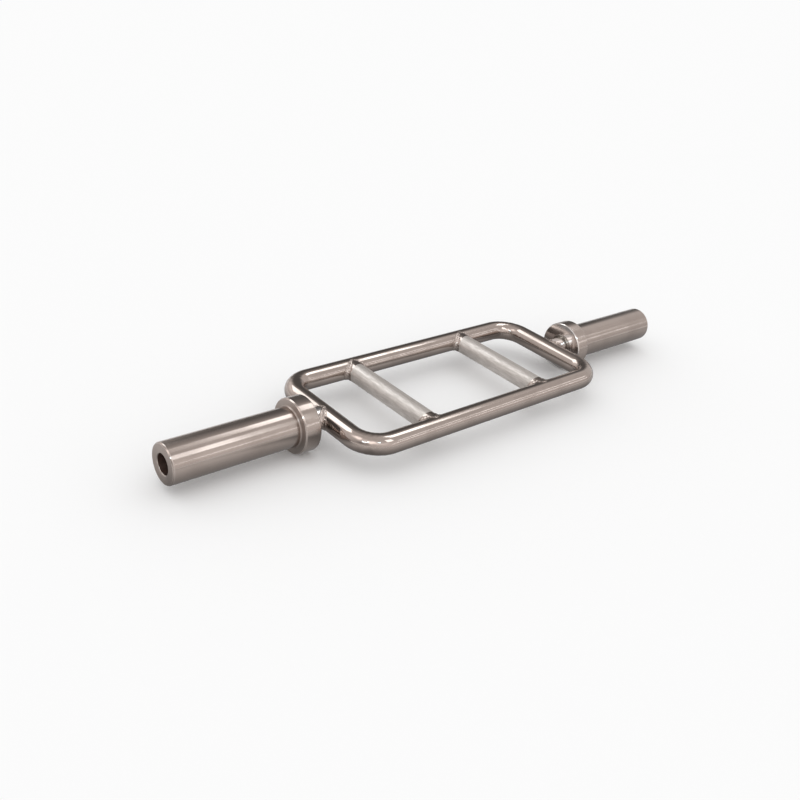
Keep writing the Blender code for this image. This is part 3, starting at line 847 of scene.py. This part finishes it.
# %% Turn the sleeves
BUSHING_RADIUS = across("right_inner_bushing")
BUSHING_SEAT = BUSHING_RADIUS + SEAT_GAP
SHAFT_HOLE = SHAFT_RADIUS + SEAT_GAP
CORE_RADIUS = (BUSHING_RADIUS + SHAFT_HOLE) / 2
SLEEVE_START_X, SLEEVE_END_X = span("right_sleeve")
INNER_SHOULDER_X = span("right_inner_bushing")[1] + SEAT_GAP
OUTER_SHOULDER_X = span("right_outer_bushing")[0] - SEAT_GAP
SLEEVE_CHAMFER = 1.25 * MILLIMETRE
SLEEVE_CHAMFER_LENGTH = 1.8 * MILLIMETRE
MOUTH_CHAMFER = 0.8 * MILLIMETRE
BORE_MARGIN = 0.01 * MILLIMETRE
sleeve_outline = [
    (SLEEVE_END_X, SLEEVE_RADIUS - SLEEVE_CHAMFER, BROAD_SOFT),
    (SLEEVE_END_X - SLEEVE_CHAMFER_LENGTH, SLEEVE_RADIUS, BROAD_SOFT),
    (SLEEVE_START_X, SLEEVE_RADIUS, 0),
    (SLEEVE_START_X, BUSHING_SEAT, 0),
    (INNER_SHOULDER_X, BUSHING_SEAT, 0),
    (INNER_SHOULDER_X, CORE_RADIUS, 0),
    (OUTER_SHOULDER_X, CORE_RADIUS, 0),
    (OUTER_SHOULDER_X, BUSHING_SEAT, 0),
    (SLEEVE_END_X - MOUTH_CHAMFER, BUSHING_SEAT, FINE_SOFT),
    (SLEEVE_END_X, BUSHING_SEAT + MOUTH_CHAMFER, FINE_SOFT),
]
turn_both("sleeve", sleeve_outline, sleeve_plate, hole=BUSHING_SEAT + BORE_MARGIN)
print("sleeve begins and ends in mm:", in_mm(SLEEVE_START_X, SLEEVE_END_X))

# %% [markdown]
# ## The collars
# A plate slides in until it rests on the collar. The collar is a ring turned on a lathe and pushed over
# the sleeve's inner end, with chamfers that draw a double bright line round its rim. A fillet weld
# fills the corner between its face and the sleeve. It is ground round, so it is a quarter of a hollow
# circle, a little uneven, and as rough as the face. The face towards the loop is polished: no plate
# rubs on it, and it mirrors the end rail.

# %% Turn the collars
COLLAR_START_X, COLLAR_FACE_X = span("right_collar")
COLLAR_WALL = 4.0 * MILLIMETRE
COLLAR_CHAMFER = 1.2 * MILLIMETRE
COLLAR_CHAMFER_LENGTH = 1.7 * MILLIMETRE
COLLAR_SOFT = 0.35 * MILLIMETRE
COLLAR_BORE = SLEEVE_RADIUS + SEAT_GAP


def chamfered(start, end, radius, chamfer, length, soft):
    """Corners of the outside of a ring with a chamfer at both ends, from its end to its start."""
    return [
        (end, radius - chamfer, soft),
        (end - length, radius, soft),
        (start + length, radius, soft),
        (start, radius - chamfer, soft),
    ]


collar_rim = COLLAR_RADIUS, COLLAR_CHAMFER, COLLAR_CHAMFER_LENGTH, COLLAR_SOFT
collar_outline = chamfered(COLLAR_START_X, COLLAR_FACE_X, *collar_rim) + [
    (COLLAR_START_X, SHAFT_HOLE, THIN_SOFT),
    (COLLAR_START_X + COLLAR_WALL, SHAFT_HOLE, 0),
    (COLLAR_START_X + COLLAR_WALL, COLLAR_BORE, 0),
    (COLLAR_FACE_X, COLLAR_BORE, THIN_SOFT / 2),
]
turn_both("collar", collar_outline, collar_plate, smooth_x=COLLAR_START_X + COLLAR_CHAMFER_LENGTH / 2)
print("collar begins and ends in mm:", in_mm(COLLAR_START_X, COLLAR_FACE_X))

# %% Weld the collars to the sleeves
WELD_LEG = across("right_collar_weld") - COLLAR_BORE
WELD_LENGTH = span("right_collar_weld")[1] - COLLAR_FACE_X
WELD_ROOT = 0.2 * MILLIMETRE
UNEVEN_LEG = 0.02


def make_collar_weld(side_name, side, rows=18, columns=160):
    """Quarter hollow: x = face + length (1 - sin t), r = sleeve + leg (1 - cos t). It runs out flush with
    the face. Waves round the collar make both legs a little shorter, and never longer than the solid's.
    The root closes the ring below the surface."""
    angle, t = circle(columns), np.linspace(0, math.pi / 2, rows)[:, None]
    waves = np.sin(5 * angle + side) + np.sin(9 * angle + 2) / 2
    uneven = 1 + UNEVEN_LEG * (waves - 1.5)
    x = COLLAR_FACE_X + WELD_LENGTH * uneven * (1 - np.sin(t))
    radius = SLEEVE_RADIUS + WELD_LEG * uneven * (1 - np.cos(t))
    back = np.full((1, columns), COLLAR_FACE_X - WELD_ROOT)
    root = np.full((1, columns), SLEEVE_RADIUS - WELD_ROOT)
    x = np.concatenate([x[:1], x, back, back])
    radius = np.concatenate([root, radius, radius[-1:], root])
    grid = turned(x, radius, side, columns)
    return make_piece(side_name + "_collar_weld", grid, collar_plate, ring=True, face=np.ones(x.shape))


make_both(make_collar_weld)

# %% [markdown]
# ## Bushings and washers
# Two bronze bushings carry the sleeve on the shaft. A thrust washer keeps the collar off the neck, and
# its rim shows as a thin ring. A retaining washer and a split lock washer lie under the bolt. All are
# plain rings, apart from the lock washer, which is a flat section carried round not quite a full turn.

# %% Turn the bushings and washers
SOFT_RIM = 0.15 * MILLIMETRE
BUSHING_CHAMFER = 0.6 * MILLIMETRE
SPLIT = 1.5 * MILLIMETRE


def ring_outline(name, hole, chamfer=0.0):
    """Outline of a flat ring with soft rims, as wide and as long as its node on the right."""
    start, end = span("right_" + name)
    radius = across("right_" + name)
    outer = [(end, radius, SOFT_RIM), (start, radius, SOFT_RIM)]
    if chamfer:
        outer = chamfered(start, end, radius, chamfer, chamfer, SOFT_RIM)
    return outer + [(start, hole, SOFT_RIM), (end, hole, SOFT_RIM)]


def make_lock_washer(side_name, side, rows=90):
    """A softened rectangle of (x, radius) carried round from one side of the split to the other."""
    x, radius, edge = softened(ring_outline("lock_washer", BOLT_HOLE_RADIUS))
    half_gap = SPLIT / (radius.min() + radius.max())
    angle = np.linspace(half_gap, 2 * math.pi - half_gap, rows)[:, None]
    grid = points(side * x, radius * np.cos(angle), radius * np.sin(angle))
    edge = np.broadcast_to(edge, grid.shape[:2])
    return make_piece(side_name + "_lock_washer", grid, black_oxide, edge=edge)


for name, hole, chamfer, material in (
    ("inner_bushing", SHAFT_HOLE, BUSHING_CHAMFER, bronze),
    ("outer_bushing", SHAFT_HOLE, BUSHING_CHAMFER, bronze),
    ("thrust_washer", SHAFT_HOLE, 0.0, washer_steel),
    ("retaining_washer", BOLT_HOLE_RADIUS, 0.0, black_oxide),
):
    turn_both(name, ring_outline(name, hole, chamfer), material, columns=96)
make_both(make_lock_washer)

# %% [markdown]
# ## The bolts
# A socket head bolt holds each sleeve on. It sits deep in the mouth of the sleeve, and only a look
# straight in shows it. Its rim is straight knurled and its socket has six sides. Both fit the same
# turned grid, because a radius there may change with the angle: flutes round the rim, and the distance
# to the side of a hexagon in the socket.

# %% Turn the bolts
BOLT_RADIUS = 5.0 * MILLIMETRE
HEAD_HEIGHT = 10.0 * MILLIMETRE
BOLT_CHAMFER = 0.8 * MILLIMETRE
SOCKET_FLATS = 8.0 * MILLIMETRE
SOCKET_DEPTH = 5.0 * MILLIMETRE
SOCKET_RIM = 0.5 * MILLIMETRE
SOCKET_RIM_DEPTH = 0.4 * MILLIMETRE
DRILL_POINT = 1.0 * MILLIMETRE
FLUTES = 44
FLUTE_DEPTH = 0.18 * MILLIMETRE
FLUTE_RAMP = 0.3 * MILLIMETRE


def make_bolt(side_name, side, columns=264):
    """Outline from the shank's tip, over the head, to the floor of the socket. Each row is (x, radius,
    what the radius gains round the bolt, edge mark). A side of the hexagon is (flats / 2) / cos a away."""
    tip, top = span("right_retaining_bolt")
    head = across("right_retaining_bolt")
    seat = top - HEAD_HEIGHT
    angle, sixth = circle(columns), math.pi / 3
    hexagon = SOCKET_FLATS / 2 / np.cos((angle + sixth / 2) % sixth - sixth / 2)
    flutes = -FLUTE_DEPTH * (0.5 - 0.5 * np.cos(FLUTES * angle))
    plain = np.zeros(columns)
    rows = [
        (tip, BOLT_RADIUS - BOLT_CHAMFER, plain, 0),
        (tip + BOLT_CHAMFER, BOLT_RADIUS, plain, 0),
        (seat, BOLT_RADIUS, plain, 0),
        (seat, head - SOFT_RIM, plain, 0),
        (seat + SOFT_RIM, head, plain, 1),
        (seat + BOLT_CHAMFER, head, plain, 0),
        (seat + BOLT_CHAMFER + FLUTE_RAMP, head, flutes, 0),
        (top - 2 * BOLT_CHAMFER - FLUTE_RAMP, head, flutes, 0),
        (top - 2 * BOLT_CHAMFER, head, plain, 0),
        (top - BOLT_CHAMFER, head, plain, 1),
        (top - SOFT_RIM, head - BOLT_CHAMFER, plain, 1),
        (top, head - BOLT_CHAMFER - SOFT_RIM, plain, 0),
        (top, 0.0, hexagon + SOCKET_RIM, 0),
        (top - SOCKET_RIM_DEPTH, 0.0, hexagon, 1),
        (top - SOCKET_DEPTH, 0.0, hexagon, 0),
        (top - SOCKET_DEPTH - DRILL_POINT, 0.0, hexagon / 4, 0),
    ]
    x, radius, gain, edge = (np.array(column) for column in zip(*rows))
    grid, edge = turned(x, radius[:, None] + gain, side, columns), edge[:, None] + plain
    return make_piece(side_name + "_retaining_bolt", grid, black_oxide, crease=25, edge=edge)


make_both(make_bolt)

# %% [markdown]
# ## The studio
# The object rests on a plain white floor in a bright white room, which lights it and its shadow evenly.
# Polished metal is a mirror, so what stands round it matters more than the lamps. A photographer builds
# a tent round such a piece. Here it has a grey mat on the table, darker close to the bar as a painted
# shadow of the bar, a wide dome that is dark behind the object and on the far left and has bright
# patches over the camera, and a few lamps. Three small strong ones make the sparkles on edges and bends.
# Mat, dome and lamps are only there for reflections. Mat and dome are grids with a brightness stored at
# every point.

# %% Floor and world
FLOOR_SIZE = 30.0
FLOOR_Z = -COLLAR_RADIUS
PAPER_WHITE = 0.97


def make_floor():
    """A square of white paper that doesn't shine, under the collars."""
    mesh = bpy.data.meshes.new("floor")
    half = FLOOR_SIZE / 2
    ends = [(x * half, y * half, FLOOR_Z) for x, y in ((-1, -1), (1, -1), (1, 1), (-1, 1))]
    mesh.from_pydata(ends, [], [(0, 1, 2, 3)])
    material, tree, shader = new_finish("pale_floor", metallic=0.0)
    shader.inputs["Base Color"].default_value = (PAPER_WHITE, PAPER_WHITE, PAPER_WHITE, 1.0)
    shader.inputs["Roughness"].default_value = 1.0
    shader.inputs["Specular IOR Level"].default_value = 0.0
    mesh.materials.append(material)
    floor = add_object("floor", mesh)


def make_world():
    """A white room of strength 1."""
    world = bpy.data.worlds.new("bright_room")
    world.use_nodes = True
    bpy.context.scene.world = world
    background = world.node_tree.nodes["Background"]
    background.inputs["Color"].default_value = (1.0, 1.0, 1.0, 1.0)
    background.inputs["Strength"].default_value = 1.0


make_floor()
make_world()
print("floor height in mm:", in_mm(FLOOR_Z))


# %% Helper for cards
def make_card(name, grid, glow, colour=(1.0, 1.0, 1.0)):
    """An open sheet that shows only in reflections and shines with the strength stored at each point."""
    rows, columns = grid.shape[:2]
    row, column = grid_quads(rows, columns - 1, False)
    mesh = bpy.data.meshes.new(name)
    mesh.from_pydata(grid.reshape(-1, 3), [], (row * columns + column).tolist())
    strength = mesh.attributes.new("glow", "FLOAT", "POINT")
    strength.data.foreach_set("value", np.ascontiguousarray(glow, dtype=np.float32).ravel())
    material = bpy.data.materials.new(name)
    material.use_nodes = True
    tree = material.node_tree
    tree.nodes.clear()
    shine = add_node(tree, "Emission", Color=(*colour, 1.0), Strength=stored(tree, "glow"))
    tree.links.new(shine.outputs[0], add_node(tree, "OutputMaterial").inputs["Surface"])
    mesh.materials.append(material)
    card = add_object(name, mesh)
    card.visible_camera = card.visible_diffuse = card.visible_shadow = False


# %% Grey mat under the object
MAT_HALF_LENGTH = 0.70
MAT_HALF_WIDTH = 0.42
MAT_LIFT = 0.2 * MILLIMETRE
MAT_NEAR = 0.21
MAT_FAR = 0.79
MAT_TILT = 0.22
MAT_SPREAD = 0.062
MAT_POWER = 1.5
MAT_ROWS, MAT_COLUMNS = 281, 169


def make_mat():
    """Glow = near + (far - tilt x - near) (1 - exp(-(d / spread)^power)), d being how far the bar is.
    The dim glow near the bar is a painted shadow of the bar.
    """
    x = np.linspace(-MAT_HALF_LENGTH, MAT_HALF_LENGTH, MAT_ROWS)[:, None]
    y = np.linspace(-MAT_HALF_WIDTH, MAT_HALF_WIDTH, MAT_COLUMNS)[None]
    to_loop = np.abs(np.maximum(np.abs(x) - END_RAIL_X, np.abs(y) - LONG_RAIL_Y))
    past_sleeve = np.maximum(np.maximum(np.abs(x) - SLEEVE_END_X, END_RAIL_X - np.abs(x)), 0)
    distance = np.minimum(to_loop, np.hypot(past_sleeve, y))
    far = MAT_FAR - MAT_TILT * x
    # The glow dims close to the bar: a painted shadow of the bar, seen in reflections.
    glow = MAT_NEAR + (far - MAT_NEAR) * (1 - np.exp(-(distance / MAT_SPREAD) ** MAT_POWER))
    make_card("mat_with_painted_shadow", points(x, y, FLOOR_Z + MAT_LIFT), glow)


make_mat()
print("mat glows from", MAT_NEAR, "to", MAT_FAR)

# %% Dome of the light tent
DOME_DISTANCE = 4.0
DOME_GLOW = 0.85
PAPER_WARM = (1.0, 0.98, 0.968)
FLAG_DARK = 0.83
FLAG_AZIMUTH = 51
FLAG_HALF_WIDTH = 28
FLAG_POWER = 6
FLAG_LEAN = 0.3
FLAG_LEAN_FROM = 22
FLAG_FADE = 40.0
FLAG_FADE_FROM = 25
DOME_ROWS, DOME_COLUMNS = 93, 241

# Each patch of the sky: strength, azimuth, elevation, half its width, half its height, and power
BRIGHT_PATCHES = [
    (0.30, -95, 18, 50, 22, 2),
    (0.55, -106, 31, 18, 6, 2),
    (0.50, 108, 22, 25, 9, 2),
    (1.60, -137, 41, 17, 12, 3),
    (1.35, 172, 50, 16, 11, 3),
    (0.40, -170, 46, 45, 12, 2),
]
DARK_PATCHES = [(0.60, -163, 16, 19, 10, 2), (0.45, 162, 0, 25, 9, 2), (0.20, -25, 0, 22, 9, 2)]


def sky_grid(distance, azimuth, elevation):
    """Points on a sphere round the object: distance * (cos e cos a, cos e sin a, sin e)."""
    a, e = np.radians(azimuth), np.radians(elevation)
    return distance * points(np.cos(e) * np.cos(a), np.cos(e) * np.sin(a), np.sin(e))


def soft_patch(azimuth, elevation, centre_a, centre_e, half_a, half_e, power):
    """1 in the middle of a patch of the sky and 0 far from it: exp(-|da / A|^power - |de / E|^power)."""
    turn = (azimuth - centre_a + 180) % 360 - 180
    rise = elevation - centre_e
    return np.exp(-np.abs(turn / half_a) ** power - np.abs(rise / half_e) ** power)


def make_dome():
    """A plain glow, brighter in some soft patches, and darkened by others and by a flag. The flag is a
    dark strip that leans to the right and fades upwards as exp(-((e - start) / fade)^2)."""
    azimuth = np.linspace(-180, 180, DOME_COLUMNS)[None]
    elevation = np.linspace(-2, 90, DOME_ROWS)[:, None]
    glow = DOME_GLOW
    for strength, *patch in BRIGHT_PATCHES:
        glow = glow + strength * soft_patch(azimuth, elevation, *patch)
    fade = np.exp(-(np.maximum(elevation - FLAG_FADE_FROM, 0) / FLAG_FADE) ** 2)
    lean = FLAG_LEAN * np.maximum(elevation - FLAG_LEAN_FROM, 0)
    strip = soft_patch(azimuth - lean, 0, FLAG_AZIMUTH, 0, FLAG_HALF_WIDTH, 1, FLAG_POWER)
    glow *= 1 - FLAG_DARK * fade * strip
    for strength, *patch in DARK_PATCHES:
        glow *= 1 - strength * soft_patch(azimuth, elevation, *patch)
    make_card("tent_dome", sky_grid(DOME_DISTANCE, azimuth, elevation), glow, PAPER_WARM)


make_dome()
print("dome glows about", DOME_GLOW, "and", round(DOME_GLOW * (1 - FLAG_DARK), 2), "behind the object")


# %% Lamps
def level_axes(back):
    """Directions to the right and up, square to a direction towards the back, as cross products."""
    right = np.cross((0, 0, 1), back)
    right /= np.linalg.norm(right)
    return right, np.cross(back, right)


def set_axes(thing, right, up, back, place):
    """Places an object by its three axes and its position."""
    matrix = np.eye(4)
    matrix[:3] = np.stack([right, up, back, place], axis=1)
    thing.matrix_world = Matrix(matrix.tolist())


def add_lamp(name, azimuth, elevation, distance, width, height, radiance, colour):
    """A rectangular lamp that faces the object. Its power is pi * area * radiance."""
    light = bpy.data.lights.new(name, "AREA")
    light.shape = "RECTANGLE"
    light.size, light.size_y = width, height
    light.energy = math.pi * width * height * radiance
    light.color = colour
    lamp = add_object(name, light)
    back = sky_grid(1.0, azimuth, elevation)
    set_axes(lamp, *level_axes(back), back, distance * back)
    lamp.visible_camera = lamp.visible_diffuse = False


COOL_WHITE = (0.90, 0.97, 1.0)
SPARKLE_BLUE = (0.60, 0.86, 1.0)

# Each lamp: name, azimuth, elevation, distance, width, height, radiance and colour
add_lamp("end_sparkle", -157.5, 32, 2.63, 0.20, 0.20, 16.0, SPARKLE_BLUE)
add_lamp("collar_sparkle", -148.8, 38, 2.49, 0.16, 0.16, 16.0, SPARKLE_BLUE)
add_lamp("bend_sparkle", -113, 46, 2.5, 0.20, 0.20, 12.0, SPARKLE_BLUE)
add_lamp("front_lamp", -81, 52, 1.3, 0.36, 0.46, 2.3, COOL_WHITE)
add_lamp("overhead_lamp", 8, 59.5, 3.0, 1.05, 1.0, 3.0, COOL_WHITE)
add_lamp("back_lamp", 107, 43.5, 3.0, 1.6, 1.35, 2.4, COOL_WHITE)
add_lamp("upper_strip", -38.5, 30, 3.9, 1.7, 0.13, 2.4, COOL_WHITE)
add_lamp("lower_strip", -52.6, 17.3, 3.3, 2.9, 0.09, 2.6, COOL_WHITE)
print("lamps:", len(bpy.data.lights))

# %% [markdown]
# ## The camera
# The camera stands at the photograph's angle. Its direction, distance and focal length were worked out
# from the outline of the bar in the 800 by 800 picture. It is turned a little about its own axis, as a
# camera held by hand is, and it aims slightly past the object, which lies left of and below the middle.

# %% Place the camera
PICTURE_WIDTH = 800
FOCAL_PIXELS = 918.5
CAMERA_AZIMUTH = -133.75
CAMERA_ELEVATION = 28.58
CAMERA_ROLL = math.radians(7.73)
CAMERA_DISTANCE = 1.2439
CAMERA_SIDEWAYS = -0.0642
CAMERA_UPWARDS = -0.0277


def place_camera():
    """Right starts level, with up square to it, and both roll by r: right becomes cos r * right +
    sin r * up, and up becomes cos r * up - sin r * right."""
    back = sky_grid(1.0, CAMERA_AZIMUTH, CAMERA_ELEVATION)
    level, upright = level_axes(back)
    right = math.cos(CAMERA_ROLL) * level + math.sin(CAMERA_ROLL) * upright
    up = math.cos(CAMERA_ROLL) * upright - math.sin(CAMERA_ROLL) * level
    data = bpy.data.cameras.new("camera")
    data.lens = FOCAL_PIXELS * data.sensor_width / PICTURE_WIDTH
    camera = add_object("camera", data)
    place = CAMERA_DISTANCE * back + CAMERA_SIDEWAYS * right + CAMERA_UPWARDS * up
    set_axes(camera, right, up, back, place)
    bpy.context.scene.camera = camera
    return camera


camera = place_camera()
bpy.context.scene.view_settings.view_transform = "Standard"
print("lens in mm:", round(camera.data.lens, 2))
